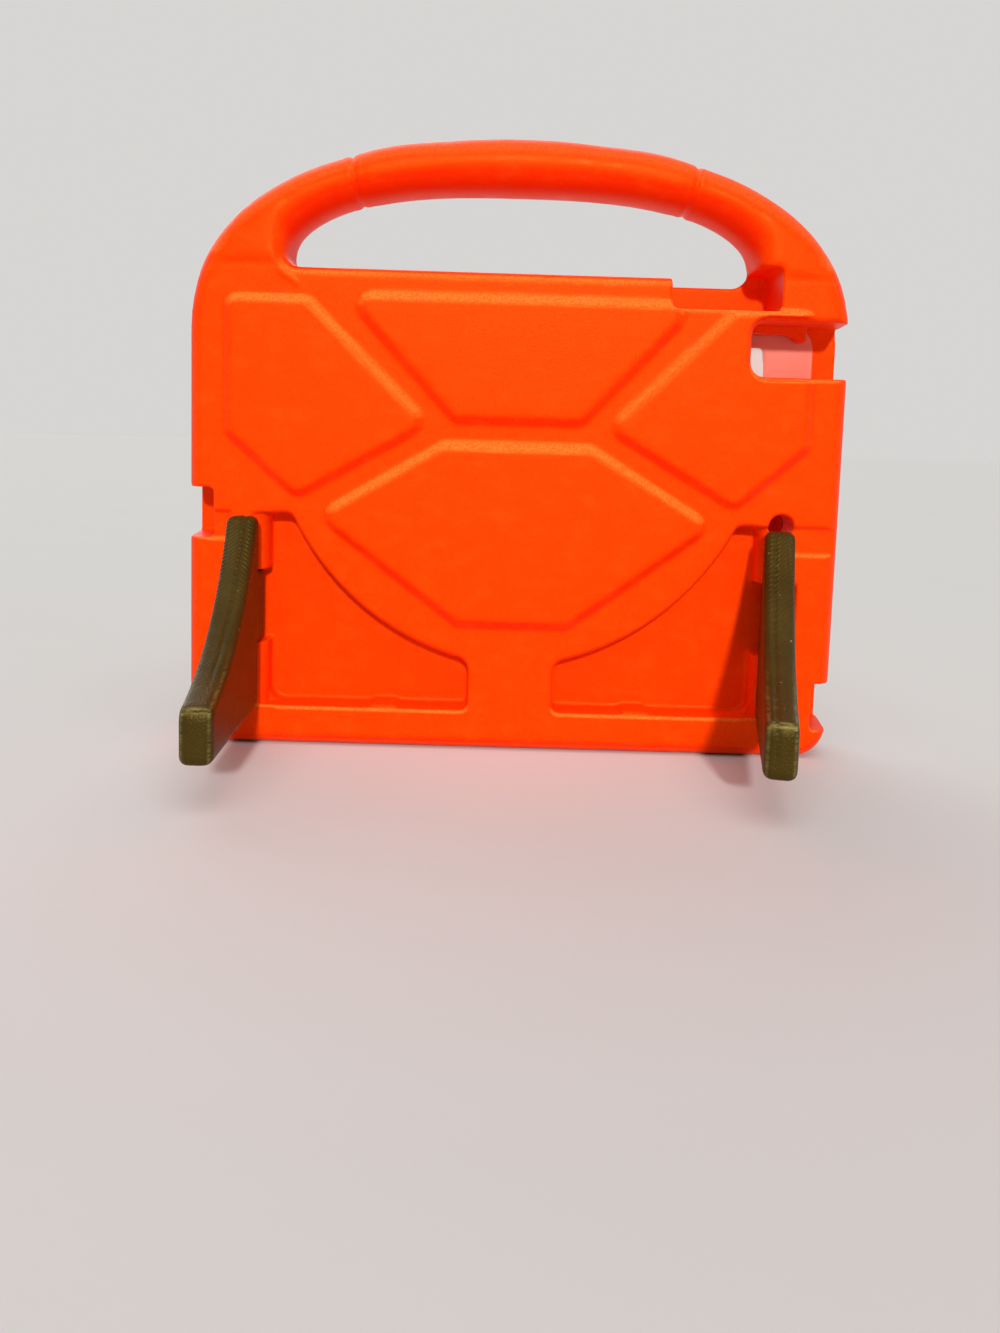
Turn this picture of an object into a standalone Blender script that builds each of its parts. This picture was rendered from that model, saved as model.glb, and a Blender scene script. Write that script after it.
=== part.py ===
import math

import bmesh
import bpy
from mathutils import Vector

for item in list(bpy.data.objects):
    bpy.data.objects.remove(item)

# Frame: +X to the right seen from the back, +Y towards the screen, +Z up.
# The origin is the middle of the flat strip that the case stands on.
mm = 0.001

# Clearances
gap = 0.3 * mm
leg_clearance = 0.6 * mm
swing_room = 0.9 * mm
cut_past = 4 * mm

# Tablet that the case is moulded for
tablet_length = 203.2 * mm
tablet_width = 134.8 * mm
tablet_thickness = 7.5 * mm
tablet_corner = 9 * mm

# Foam walls round the tablet
side_wall = 12.8 * mm
bottom_wall = 13.7 * mm
top_wall = 16.3 * mm
floor_wall = 3.1 * mm
lip_thickness = 3.8 * mm
lip_cover_ends = 13.1 * mm
lip_cover_sides = 5.6 * mm
film_thickness = 0.5 * mm
film_flange = 4 * mm

# Outer form
base_corner = 12 * mm
body_edge = 5 * mm
body_edge_depth = 6 * mm
side_draft = 2 * mm
handle_rise = 45.6 * mm
handle_side_start = 21 * mm
handle_shoulder = 57.5 * mm
handle_width = 18 * mm
handle_roundness = 0.455
handle_depth_roundness = 0.43
opening_half = 80.4 * mm
opening_fullness = 2.8
opening_corner = 5 * mm
opening_sill_edge = 3.4 * mm
grip_half = 56 * mm
grip_proud = 0.2 * mm
seam_width = 1 * mm
seam_depth = 0.6 * mm

# Legs and their hinges
hinge_inset = 22.2 * mm
leg_thickness = 10 * mm
leg_edge = 2.4 * mm
leg_reach = 77.7 * mm
leg_height = 67.5 * mm
leg_foot = 14.3 * mm
leg_sag = 0.3 * mm
leg_top_width = 8.3 * mm
toe_height = 17.8 * mm
leg_hollow_radius = 91.3 * mm
leg_top_round = 3.2 * mm
toe_round = 5 * mm
toe_low_round = 2.5 * mm
heel_round = 5 * mm
knuckle_radius = 4.7 * mm
knuckle_low = 36.8 * mm
knuckle_length = 24.4 * mm
knuckle_wall = 7.1 * mm
hinge_cover = 0.8 * mm
pin_radius = 2 * mm
pin_engagement = 13 * mm
left_open_angle = 88
right_open_angle = 78
nub_place = 48.2 * mm
nub_length = 10 * mm
nub_height = 1 * mm

# Raised panels on the back
panel_height = 1.9 * mm
panel_slope = 3.2 * mm
panel_round = 4 * mm
hex_half = 67.5 * mm
hex_top_half = 25.3 * mm
hex_bottom_half = 19 * mm
hex_rise = 25.4 * mm
hex_drop = 36.4 * mm
crown_top_half = 59.5 * mm
crown_bottom_half = 21.6 * mm
crown_bottom_rise = 34 * mm
crown_border = 9.1 * mm
wing_border = 15.5 * mm
wing_top_border = 11 * mm
wing_top_length = 27 * mm
wing_side_height = 45.1 * mm
wing_tip_inset = 24.1 * mm
wing_tip_drop = 21.3 * mm
wing_nose_half = 30.8 * mm
wing_nose_rise = 32.4 * mm

# Openings for the tablet's buttons, ports and cameras
camera_slot_half = 78.5 * mm
camera_slot_height = 18.9 * mm
camera_slot_top = 13.5 * mm
camera_slot_round = 5 * mm
volume_start = 50.8 * mm
volume_end = 88 * mm
volume_sill = 10.4 * mm
volume_pocket_rise = 4.2 * mm
charge_half_height = 8.6 * mm
charge_reach = 10.8 * mm
jack_low = 10.6 * mm
jack_height = 16.6 * mm
jack_reach = 8.7 * mm
sound_hole_radius = 4.2 * mm
sound_hole_half = 92 * mm
channel_depth = 1 * mm
channel_drop = 8.4 * mm
button_radius = 8 * mm
button_from_end = 10.8 * mm
lens_radius = 3.6 * mm
lens_from_end = 7 * mm
window_round = 6 * mm
lip_slope = 1.6 * mm

# Sizes that follow from the ones above
cavity_length = tablet_length + 2 * gap
cavity_width = tablet_width + 2 * gap
cavity_depth = tablet_thickness + film_thickness + 2 * gap
half_width = cavity_length / 2 + side_wall
body_top = bottom_wall + cavity_width + top_wall
middle = bottom_wall + cavity_width / 2
hinge_x = half_width - hinge_inset
hinge_depth = leg_thickness / 2 + hinge_cover
recess_depth = hinge_depth + leg_thickness / 2 + leg_clearance
case_depth = recess_depth + floor_wall + cavity_depth + lip_thickness
back = -case_depth / 2
front = case_depth / 2
hinge_y = back + hinge_depth
recess_floor = back + recess_depth
cavity_back = recess_floor + floor_wall
lip_back = front - lip_thickness
handle_top = body_top + handle_rise
handle_start = body_top - handle_side_start
handle_edge = handle_roundness * handle_width
handle_edge_depth = handle_depth_roundness * case_depth
opening_start = body_top + 2.4 * mm
opening_rise = handle_top - handle_width - opening_start
leg_top = leg_foot + leg_height
knuckle_high = knuckle_low + knuckle_length
window_half = tablet_length / 2 - lip_cover_ends
window_half_height = tablet_width / 2 - lip_cover_sides


def arc(center, radius, start, end, steps):
    points = []
    for i in range(steps + 1):
        angle = math.radians(start + (end - start) * i / steps)
        points.append((center[0] + radius * math.cos(angle), center[1] + radius * math.sin(angle)))
    return points


def filleted(corners, steps=4):
    # Each corner is (x, z, radius); the outline runs counter-clockwise.
    points = []
    for i, (x, z, radius) in enumerate(corners):
        here = Vector((x, z))
        if radius == 0:
            points.append((x, z))
            continue
        before = (Vector(corners[i - 1][:2]) - here).normalized()
        after = (Vector(corners[(i + 1) % len(corners)][:2]) - here).normalized()
        half = before.angle(after) / 2
        center = here + (before + after).normalized() * (radius / math.sin(half))
        start = here + before * (radius / math.tan(half)) - center
        turn = start.angle_signed(here + after * (radius / math.tan(half)) - center)
        first = math.atan2(start.y, start.x)
        for k in range(steps + 1):
            angle = first - turn * k / steps
            points.append((center.x + radius * math.cos(angle), center.y + radius * math.sin(angle)))
    return points


def offset(points, amounts):
    # Moves a counter-clockwise outline outwards; amounts is one length or one for each point.
    if not isinstance(amounts, list):
        amounts = [amounts] * len(points)
    moved = []
    for i, point in enumerate(points):
        here = Vector(point)
        before = (here - Vector(points[i - 1])).normalized()
        after = (Vector(points[(i + 1) % len(points)]) - here).normalized()
        side = Vector((before.y + after.y, -before.x - after.x)).normalized()
        spread = max(side.dot(Vector((before.y, -before.x))), 0.5)
        place = here + side * (amounts[i] / spread)
        moved.append((place.x, place.y))
    return moved


def mirrored(points):
    return [(-x, z) for x, z in reversed(points)]


def skin(name, rings, material=None):
    # One closed solid through rings of equal length, each a list of (x, y, z).
    bm = bmesh.new()
    loops = []
    for ring in rings:
        loops.append([bm.verts.new(point) for point in ring])
    for low, high in zip(loops, loops[1:]):
        for i in range(len(low)):
            k = (i + 1) % len(low)
            bm.faces.new((low[i], low[k], high[k], high[i]))
    bm.faces.new(list(reversed(loops[0])))
    bm.faces.new(loops[-1])
    bmesh.ops.recalc_face_normals(bm, faces=bm.faces)
    mesh = bpy.data.meshes.new(name)
    bm.to_mesh(mesh)
    bm.free()
    item = bpy.data.objects.new(name, mesh)
    bpy.context.scene.collection.objects.link(item)
    if material:
        mesh.materials.append(material)
    return item


def layered(name, outline, layers, material=None):
    # An outline in the X-Z plane, given at each (y, outward offset).
    rings = []
    for y, amount in layers:
        rings.append([(x, y, z) for x, z in offset(outline, amount)])
    return skin(name, rings, material)


def block(name, low, high):
    outline = [(low[0], low[2]), (high[0], low[2]), (high[0], high[2]), (low[0], high[2])]
    return layered(name, outline, [(low[1], 0), (high[1], 0)])


def upright_rod(name, x, y, radius, low, high, chamfer=0, steps=24, material=None):
    # A turned rod along Z.
    stops = [(low, radius), (high, radius)]
    if chamfer:
        stops = [(low, radius - chamfer), (low + chamfer, radius), (high - chamfer, radius),
                 (high, radius - chamfer)]
    rings = []
    for z, r in stops:
        rings.append([(px, py, z) for px, py in arc((x, y), r, 0, 360 * (steps - 1) / steps, steps - 1)])
    return skin(name, rings, material)


def cutter(item):
    item.hide_render = True
    item.display_type = 'WIRE'
    return item


def combine(item, tool, operation):
    change = item.modifiers.new(tool.name, 'BOOLEAN')
    change.operation = operation
    change.object = cutter(tool)


def cut(item, tool):
    combine(item, tool, 'DIFFERENCE')


def join(item, tool):
    combine(item, tool, 'UNION')


def finish(name, color, roughness, alpha=1.0):
    material = bpy.data.materials.new(name)
    material.use_nodes = True
    shader = material.node_tree.nodes['Principled BSDF']
    shader.inputs['Base Color'].default_value = (*color, 1)
    shader.inputs['Roughness'].default_value = roughness
    shader.inputs['Metallic'].default_value = 0
    shader.inputs['Alpha'].default_value = alpha
    return material


orange_foam = finish('orange_foam', (0.90, 0.075, 0.006), 0.62)
olive_foam = finish('olive_foam', (0.085, 0.062, 0.016), 0.6)
pin_steel = finish('pin_steel', (0.55, 0.55, 0.56), 0.35)
pin_steel.node_tree.nodes['Principled BSDF'].inputs['Metallic'].default_value = 1
clear_film = finish('clear_film', (0.86, 0.86, 0.84), 0.2, 0.35)


# Outer form: body and handle as one outline with edges that grow rounder up the handle
def crest_radius():
    # The flat top arc that meets both shoulder arcs without a corner.
    rise = handle_start - handle_top
    across = half_width - handle_shoulder
    return (handle_shoulder ** 2 - across ** 2 - rise ** 2) / (2 * (rise + handle_shoulder))


def handle_curve(steps):
    # From the right side over a shoulder arc and the top arc to the left side.
    radius = crest_radius()
    middle_x = half_width - handle_shoulder
    joint = math.degrees(math.atan2(handle_start - (handle_top - radius), middle_x))
    side = arc((middle_x, handle_start), handle_shoulder, 0, joint, steps)
    crest = arc((0, handle_top - radius), radius, joint, 90, steps)
    return side + crest[1:] + mirrored(side + crest[1:-1])


def opening_curve(steps):
    # A superellipse from the opening's right end over its top to the left end.
    points = []
    for k in range(1, 2 * steps):
        turn = math.pi * k / (2 * steps)
        reach = abs(math.cos(turn)) ** (2 / opening_fullness)
        points.append((math.copysign(opening_half * reach, math.cos(turn)),
                       opening_start + opening_rise * math.sin(turn)))
    return points


def opening_height(x):
    return opening_start + opening_rise * math.sqrt(1 - abs(x / opening_half) ** opening_fullness)


def eased(value, low, high):
    share = min(max((value - low) / (high - low), 0), 1)
    return share * share * (3 - 2 * share)


def rounded_layers(outline, plain, plain_depth, way, low, high, draft):
    # Layers from the back face to the front face, with an elliptic edge that grows from height
    # low to height high. The draft draws the sides of the body in towards the back.
    growth = [eased(z, low, high) for x, z in outline]
    edges = [plain + (handle_edge - plain) * share for share in growth]
    depths = [plain_depth + (handle_edge_depth - plain_depth) * share for share in growth]
    steps = 5
    rings = []
    for half in (back, front):
        inwards = 1 if half == back else -1
        for k in range(steps + 1):
            turn = math.radians(90 * (k if half == back else steps - k) / steps)
            flat = offset(outline, [way * r * (1 - math.sin(turn)) for r in edges])
            ring = []
            for (x, z), depth in zip(flat, depths):
                narrow = 0
                if half == back:
                    narrow = draft / half_width * (1 - eased(z, body_top + 10 * mm, handle_top - 12 * mm))
                ring.append((x * (1 - narrow), half + inwards * depth * (1 - math.cos(turn)), z))
            rings.append(ring)
    return rings


def body_outline():
    side = [(half_width, base_corner + (handle_start - base_corner) * k / 8) for k in range(1, 8)]
    corner = arc((half_width - base_corner, base_corner), base_corner, -90, 0, 7)
    return corner + side + handle_curve(14) + mirrored(corner + side)


def opening_outline():
    turn = opening_half - opening_corner
    corner = arc((turn, body_top + opening_corner), opening_corner, -90, -15, 4)
    sill = [(turn * k / 5, body_top) for k in range(-4, 5)]
    return sill + corner + opening_curve(14) + mirrored(corner)


def opening_rings():
    rings = rounded_layers(opening_outline(), opening_sill_edge, opening_sill_edge, 1,
                           body_top + 0.5 * mm, body_top + 12 * mm, 0)
    first = [(x, back - cut_past, z) for x, y, z in rings[0]]
    last = [(x, front + cut_past, z) for x, y, z in rings[-1]]
    return [first] + rings + [last]


def tube_section(angle, grow):
    # One cross-section of the handle's tube, in a plane through the top arc's centre.
    turn = math.radians(angle)
    outer = crest_radius()
    center_height = handle_top - outer
    inner = outer - handle_width
    for k in range(12):
        inner = (opening_height(inner * math.cos(turn)) - center_height) / math.sin(turn)
    low, high = inner - grow, outer + grow
    across = min(handle_edge, 0.47 * (outer - inner)) + grow
    along = handle_edge_depth + grow
    deep = case_depth / 2 + grow - along
    ring = []
    steps = 6
    for side, way, first in ((1, 1, 0), (-1, 1, steps), (-1, -1, 0), (1, -1, steps)):
        for k in range(steps + 1):
            share = math.radians(90 / steps * abs(first - k))
            center = high - across if side > 0 else low + across
            reach = center + side * across * math.cos(share)
            ring.append((reach * math.cos(turn), way * (deep + along * math.sin(share)),
                         center_height + reach * math.sin(turn)))
    return ring


def grip_tube(name, grow, half):
    spread = math.degrees(math.asin(half / crest_radius()))
    return skin(name, [tube_section(90 + spread - spread * k / 7, grow) for k in range(15)])


def seam_cutter(name, side):
    # A thin slab across the tube, hollowed so that it only grooves the surface.
    outer = crest_radius()
    turn = math.asin(grip_half / outer)
    rings = []
    for y in (back - cut_past, front + cut_past):
        ring = []
        for along, reach in ((0, outer - 2 * handle_width), (seam_width, outer - 2 * handle_width),
                             (seam_width, outer + cut_past), (0, outer + cut_past)):
            ring.append((side * (reach * math.sin(turn) + along * math.cos(turn)), y,
                         handle_top - outer + reach * math.cos(turn) - along * math.sin(turn)))
        rings.append(ring)
    slab = skin(name, rings)
    cut(slab, grip_tube(name + '_core', -seam_depth, grip_half + 8 * mm))
    return slab


# Raised panels
def panel(name, corners):
    outline = filleted([(x, z, panel_round) for x, z in corners], 3)
    half = panel_slope / 2
    layers = [(back - panel_height, -half - 0.15 * mm), (back - 0.78 * panel_height, -half * 0.45),
              (back - 0.28 * panel_height, half * 0.4), (back, half), (back + 1 * mm, half)]
    return layered(name, outline, layers)


def hex_corners():
    return [(hex_bottom_half, middle - hex_drop), (hex_half, middle), (hex_top_half, middle + hex_rise),
            (-hex_top_half, middle + hex_rise), (-hex_half, middle), (-hex_bottom_half, middle - hex_drop)]


def crown_corners():
    low = middle + crown_bottom_rise
    high = body_top - crown_border
    return [(crown_bottom_half, low), (crown_top_half, high), (-crown_top_half, high),
            (-crown_bottom_half, low)]


def wing_corners():
    # The left panel; the right one is its mirror image.
    left = -half_width + wing_border
    high = body_top - wing_top_border
    low = high - wing_side_height
    return [(left + wing_tip_inset, low - wing_tip_drop), (-wing_nose_half, middle + wing_nose_rise),
            (left + wing_top_length, high), (left, high), (left, low)]


# Legs and the recesses that they fold into
def hollow_arc(steps):
    # The concave edge, from the toe's upper corner to the leg's top, in reach from the hinge.
    low = Vector((leg_reach, leg_foot + toe_height))
    high = Vector((knuckle_wall + leg_top_width, leg_top))
    chord = high - low
    middle_point = (low + high) / 2
    lift = math.sqrt(leg_hollow_radius ** 2 - (chord.length / 2) ** 2)
    center = middle_point + Vector((chord.y, -chord.x)).normalized() * lift
    first = math.atan2(low.y - center.y, low.x - center.x)
    last = math.atan2(high.y - center.y, high.x - center.x)
    first = first + 2 * math.pi if first < 0 else first
    last = last + 2 * math.pi if last < 0 else last
    return [(x, z) for x, z in arc(center, leg_hollow_radius, math.degrees(first), math.degrees(last), steps)]


def leg_shape(bay):
    # Outline in (reach from the hinge axis, height); bay adds the hinge bay of the recess.
    curve = hollow_arc(12)
    corners = [(knuckle_wall, leg_foot, heel_round), (leg_reach, leg_foot, toe_low_round)]
    corners.append((curve[0][0], curve[0][1], toe_round))
    for reach, height in curve[1:-1]:
        corners.append((reach, height, 0))
    corners.append((curve[-1][0], curve[-1][1], leg_top_round))
    corners.append((knuckle_wall, leg_top, leg_top_round))
    if bay:
        far = -knuckle_radius - swing_room
        for reach, height in ((knuckle_wall, knuckle_high + leg_clearance), (far, knuckle_high + leg_clearance),
                              (far, knuckle_low - leg_clearance), (knuckle_wall, knuckle_low - leg_clearance)):
            corners.append((reach, height, 0))
    return filleted(corners)


def placed(shape, side):
    # From (reach, height) to world X and Z on one side of the case.
    if side < 0:
        return [(-hinge_x + reach, height) for reach, height in shape]
    return mirrored([(-hinge_x + reach, height) for reach, height in shape])


def recess_cutter(name, side):
    outline = placed(leg_shape(True), side)
    layers = [(back - cut_past, 1 * mm), (back, 1 * mm), (back + 0.3 * mm, 0.45 * mm),
              (back + 1 * mm, 0), (recess_floor - 0.6 * mm, 0), (recess_floor, -0.6 * mm)]
    return layered(name, outline, layers)


def hinge_relief(name, side):
    # Rounds the recess's hinge side about the axis, so that the leg's root swings past it.
    profile = []
    for k in range(9):
        turn = math.radians(10 * k)
        profile.append((knuckle_wall * math.cos(turn), hinge_y - hinge_depth * math.sin(turn)))
    past = knuckle_wall + 0.85 * heel_round
    profile += [(0.2 * mm, back - cut_past), (past, back - cut_past), (past, hinge_y)]
    rings = []
    for z in (leg_foot + 0.1 * mm, leg_top - 0.1 * mm):
        rings.append([(side * (hinge_x - reach), y, z) for reach, y in profile])
    return skin(name, rings)


def leg(name, side, opened):
    # Modelled folded flat about its hinge axis, then turned to its open angle.
    reach_out = leg_thickness / 2
    outline = offset(placed(leg_shape(False), side), -leg_clearance)
    outline = [(x - side * hinge_x, z - leg_sag) for x, z in outline]
    layers = []
    for y, way in ((-reach_out, 1), (reach_out, -1)):
        for k in range(4):
            turn = math.radians(90 * (k if way > 0 else 3 - k) / 3)
            layers.append((y + way * leg_edge * (1 - math.cos(turn)), -leg_edge * (1 - math.sin(turn))))
    item = layered(name, outline, layers, olive_foam)
    knuckle = arc((0, 0), knuckle_radius, 90, 270, 12)
    knuckle += [(knuckle_wall + 5 * mm, -knuckle_radius), (knuckle_wall + 5 * mm, knuckle_radius)]
    rings = [[(-side * a, b, z) for a, b in knuckle] for z in (knuckle_low, knuckle_high)]
    join(item, skin(name + '_knuckle', rings))
    cut(item, upright_rod(name + '_bore', 0, 0, pin_radius + gap, knuckle_low - cut_past,
                          knuckle_high + cut_past))
    relief = nub_length / 2 + 1.6 * mm
    low = min(-side * (nub_place - relief), -side * (nub_place + relief))
    cut(item, block(name + '_relief', (low, -leg_thickness, 0),
                    (low + 2 * relief, leg_thickness, leg_foot + nub_height + 2 * gap)))
    for tool in [m.object for m in item.modifiers]:
        tool.parent = item
    item.location = (side * hinge_x, hinge_y, 0)
    item.rotation_euler = (0, 0, side * math.radians(opened))
    return item


def hinge_pin(name, side):
    low = knuckle_low - leg_clearance - pin_engagement + gap
    high = knuckle_high + leg_clearance + pin_engagement - gap
    return upright_rod(name, side * hinge_x, hinge_y, pin_radius, low, high, 0.4 * mm, 24, pin_steel)


def nub(name, side):
    place = side * (hinge_x - nub_place)
    half = nub_length / 2
    outline = [(place - half, leg_foot - 1 * mm), (place + half, leg_foot - 1 * mm),
               (place + half, leg_foot + 0.3 * nub_height), (place + 0.7 * half, leg_foot + nub_height),
               (place - 0.7 * half, leg_foot + nub_height), (place - half, leg_foot + 0.3 * nub_height)]
    return layered(name, outline, [(back + 1.4 * mm, 0), (recess_floor + 1 * mm, 0)])


# Hollows and openings for the tablet
def screen_outline(grow, corner, steps=6):
    # The tablet's own outline, grown on every side.
    half = tablet_length / 2 + grow
    tall = tablet_width / 2 + grow
    corners = [(-half, middle - tall), (half, middle - tall), (half, middle + tall), (-half, middle + tall)]
    return filleted([(x, z, corner) for x, z in corners], steps)


def tablet_cavity():
    outline = screen_outline(gap, tablet_corner)
    return layered('tablet_cavity', outline, [(cavity_back, 0), (lip_back - gap, 0)])


def film_groove():
    # Holds the film's flange between the tablet's edge and the lip.
    outline = screen_outline(gap + film_flange, tablet_corner)
    return layered('film_groove', outline, [(lip_back - film_thickness - 2 * gap, 0), (lip_back, 0)])


def window_layers():
    return [(lip_back - 1 * mm, 0), (lip_back + 0.8 * mm, 0), (front, lip_slope), (front + cut_past, lip_slope)]


def display_window():
    half = window_half
    tall = window_half_height
    corners = [(-half, middle - tall), (half, middle - tall), (half, middle + tall), (-half, middle + tall)]
    outline = filleted([(x, z, window_round) for x, z in corners])
    return layered('display_window', outline, window_layers())


def round_outline(x, z, radius, steps=24):
    return arc((x, z), radius, 0, 360 * (steps - 1) / steps, steps - 1)


def button_bay():
    outline = round_outline(-tablet_length / 2 + button_from_end, middle, button_radius, 32)
    return layered('button_bay', outline, window_layers())


def lens_hole():
    outline = round_outline(tablet_length / 2 - lens_from_end, middle, lens_radius)
    return layered('lens_hole', outline, window_layers())


def camera_slot():
    # Through the back wall to the tablet's rear camera.
    far = half_width + cut_past
    high = body_top - camera_slot_top
    low = high - camera_slot_height
    outline = filleted([(camera_slot_half, low, camera_slot_round), (far, low, 0), (far, high, 0),
                        (camera_slot_half, high, camera_slot_round)])
    layers = [(back - cut_past, 1.2 * mm), (back, 1.2 * mm), (back + 0.4 * mm, 0.6 * mm),
              (back + 1.2 * mm, 0), (cavity_back + 1 * mm, 0)]
    return layered('camera_slot', outline, layers)


def power_notch():
    # Runs on from the camera slot through the side wall, for the button on the tablet's end.
    high = body_top - camera_slot_top
    low = high - camera_slot_height
    return block('power_notch', (cavity_length / 2 - 0.8 * mm, back + 3 * mm, low),
                 (half_width + cut_past, lip_back, high))


def volume_notch():
    low = body_top - volume_sill
    high = body_top + volume_pocket_rise
    outline = filleted([(volume_start, low, 1.5 * mm), (volume_end, low, 1.5 * mm),
                        (volume_end, high, 1.5 * mm), (volume_start, high, 0)], 2)
    return layered('volume_notch', outline, [(back - cut_past, 0), (lip_back, 0)])


def volume_ramp():
    # Slopes from the notch's sill down to the tablet's long edge.
    sill = body_top - volume_sill
    low = middle + cavity_width / 2 - 0.8 * mm
    high = body_top + 1 * mm
    profile = [(back + 1 * mm, sill + 0.8 * mm), (cavity_back + 1 * mm, low), (lip_back - gap, low),
               (lip_back - gap, high), (back + 1 * mm, high)]
    start = volume_start + 2 * mm
    end = camera_slot_half - 3 * mm
    rings = [[(x, y, z) for y, z in profile] for x in (start, end)]
    return skin('volume_ramp', rings)


def port_cutter(name, side, low, high, reach):
    # Open at the side wall, deeper towards the tablet's end.
    far = half_width + cut_past
    at_back = half_width - reach
    at_tablet = cavity_length / 2 - 0.8 * mm
    slope = (at_back - at_tablet) / (cavity_back - back)
    profile = [(far, back - cut_past), (at_back + slope * cut_past, back - cut_past),
               (at_tablet, cavity_back), (at_tablet, lip_back), (far, lip_back)]
    rings = []
    for z, shrink in ((low, 1 * mm), (low + 1 * mm, 0), (high - 1 * mm, 0), (high, 1 * mm)):
        rings.append([(side * (x + (shrink if i in (1, 2, 3) else 0)), y, z)
                      for i, (x, y) in enumerate(profile)])
    return skin(name, rings)


def sound_hole():
    outline = round_outline(sound_hole_half, middle + 0.6 * mm, sound_hole_radius)
    layers = [(back - cut_past, 0.5 * mm), (back, 0.5 * mm), (back + 0.7 * mm, 0), (cavity_back + 1 * mm, 0)]
    return layered('sound_hole', outline, layers)


def channel(name, near, far):
    high = middle
    low = high - channel_drop
    outline = [(near, low), (far, low), (far, high), (near, high)]
    layers = [(back - cut_past, 0.9 * mm), (back, 0.9 * mm), (back + channel_depth, 0)]
    return layered(name, outline, layers)


def case_body():
    rings = rounded_layers(body_outline(), body_edge, body_edge_depth, -1,
                           body_top - 14 * mm, body_top + 12 * mm, side_draft)
    item = skin('case_body', rings, orange_foam)
    cut(item, skin('handle_opening', opening_rings()))
    join(item, grip_tube('grip', grip_proud, grip_half))
    for name, side in (('left_seam', -1), ('right_seam', 1)):
        cut(item, seam_cutter(name, side))
    join(item, panel('hex_panel', hex_corners()))
    join(item, panel('crown_panel', crown_corners()))
    join(item, panel('left_wing_panel', wing_corners()))
    join(item, panel('right_wing_panel', mirrored(wing_corners())))
    cut(item, tablet_cavity())
    cut(item, film_groove())
    cut(item, display_window())
    cut(item, button_bay())
    cut(item, lens_hole())
    cut(item, camera_slot())
    cut(item, power_notch())
    cut(item, volume_notch())
    cut(item, volume_ramp())
    cut(item, port_cutter('charge_notch', -1, middle - charge_half_height, middle + charge_half_height,
                          charge_reach))
    cut(item, port_cutter('jack_notch', 1, jack_low, jack_low + jack_height, jack_reach))
    cut(item, sound_hole())
    cut(item, channel('right_channel', sound_hole_half + 2 * mm, half_width + cut_past))
    cut(item, channel('left_channel', -half_width + charge_reach - 1 * mm,
                      -hinge_x - knuckle_radius - swing_room))
    for name, side in (('left', -1), ('right', 1)):
        cut(item, recess_cutter(name + '_recess', side))
        cut(item, hinge_relief(name + '_hinge_relief', side))
        low = knuckle_low - leg_clearance - pin_engagement
        high = knuckle_high + leg_clearance + pin_engagement
        cut(item, upright_rod(name + '_socket', side * hinge_x, hinge_y, pin_radius + gap, low, high))
        join(item, nub(name + '_nub', side))
    return item


def screen_film():
    outline = screen_outline(film_flange, tablet_corner - gap)
    inner = lip_back - gap
    item = layered('screen_film', outline, [(inner - film_thickness, 0), (inner, 0)], clear_film)
    for name, x, radius in (('film_button_hole', -tablet_length / 2 + button_from_end, button_radius),
                            ('film_lens_hole', tablet_length / 2 - lens_from_end, lens_radius)):
        cut(item, layered(name, round_outline(x, middle, radius - 1.2 * mm),
                          [(inner - cut_past, 0), (inner + cut_past, 0)]))
    return item


made = [case_body(), screen_film()]
made.append(leg('left_leg', -1, left_open_angle))
made.append(leg('right_leg', 1, right_open_angle))
made.append(hinge_pin('left_hinge_pin', -1))
made.append(hinge_pin('right_hinge_pin', 1))
for item in made:
    item.data.shade_smooth()
    item.data.set_sharp_from_angle(angle=math.radians(32))
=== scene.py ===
import math

import bpy
import numpy as np
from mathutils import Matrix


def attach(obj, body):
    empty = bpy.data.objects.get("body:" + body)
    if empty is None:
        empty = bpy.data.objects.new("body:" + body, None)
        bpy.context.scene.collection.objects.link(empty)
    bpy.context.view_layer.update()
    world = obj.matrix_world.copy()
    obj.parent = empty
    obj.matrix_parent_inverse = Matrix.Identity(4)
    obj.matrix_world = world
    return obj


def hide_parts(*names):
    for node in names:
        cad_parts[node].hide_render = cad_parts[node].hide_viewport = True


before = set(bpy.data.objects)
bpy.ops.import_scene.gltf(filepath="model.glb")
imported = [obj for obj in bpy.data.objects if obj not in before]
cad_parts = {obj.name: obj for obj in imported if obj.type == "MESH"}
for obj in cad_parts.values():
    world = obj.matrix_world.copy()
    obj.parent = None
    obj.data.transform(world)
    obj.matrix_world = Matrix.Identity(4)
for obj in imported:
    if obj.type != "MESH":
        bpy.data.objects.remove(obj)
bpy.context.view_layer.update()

mm = 0.001
print("stage: frame loaded,", len(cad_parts), "nodes")


# Small helpers

def linearColour(hexText):
    # sRGB hex to the linear values that the shader sockets take
    parts = [int(hexText[i:i + 2], 16) / 255 for i in (1, 3, 5)]
    return tuple(p / 12.92 if p <= 0.04045 else ((p + 0.055) / 1.055) ** 2.4 for p in parts) + (1.0,)


def selectOnly(piece):
    if bpy.context.object and bpy.context.object.mode != "OBJECT":
        bpy.ops.object.mode_set(mode="OBJECT")
    bpy.ops.object.select_all(action="DESELECT")
    piece.select_set(True)
    bpy.context.view_layer.objects.active = piece


def applyModifiers(piece):
    selectOnly(piece)
    for change in list(piece.modifiers):
        bpy.ops.object.modifier_apply(modifier=change.name)


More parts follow.
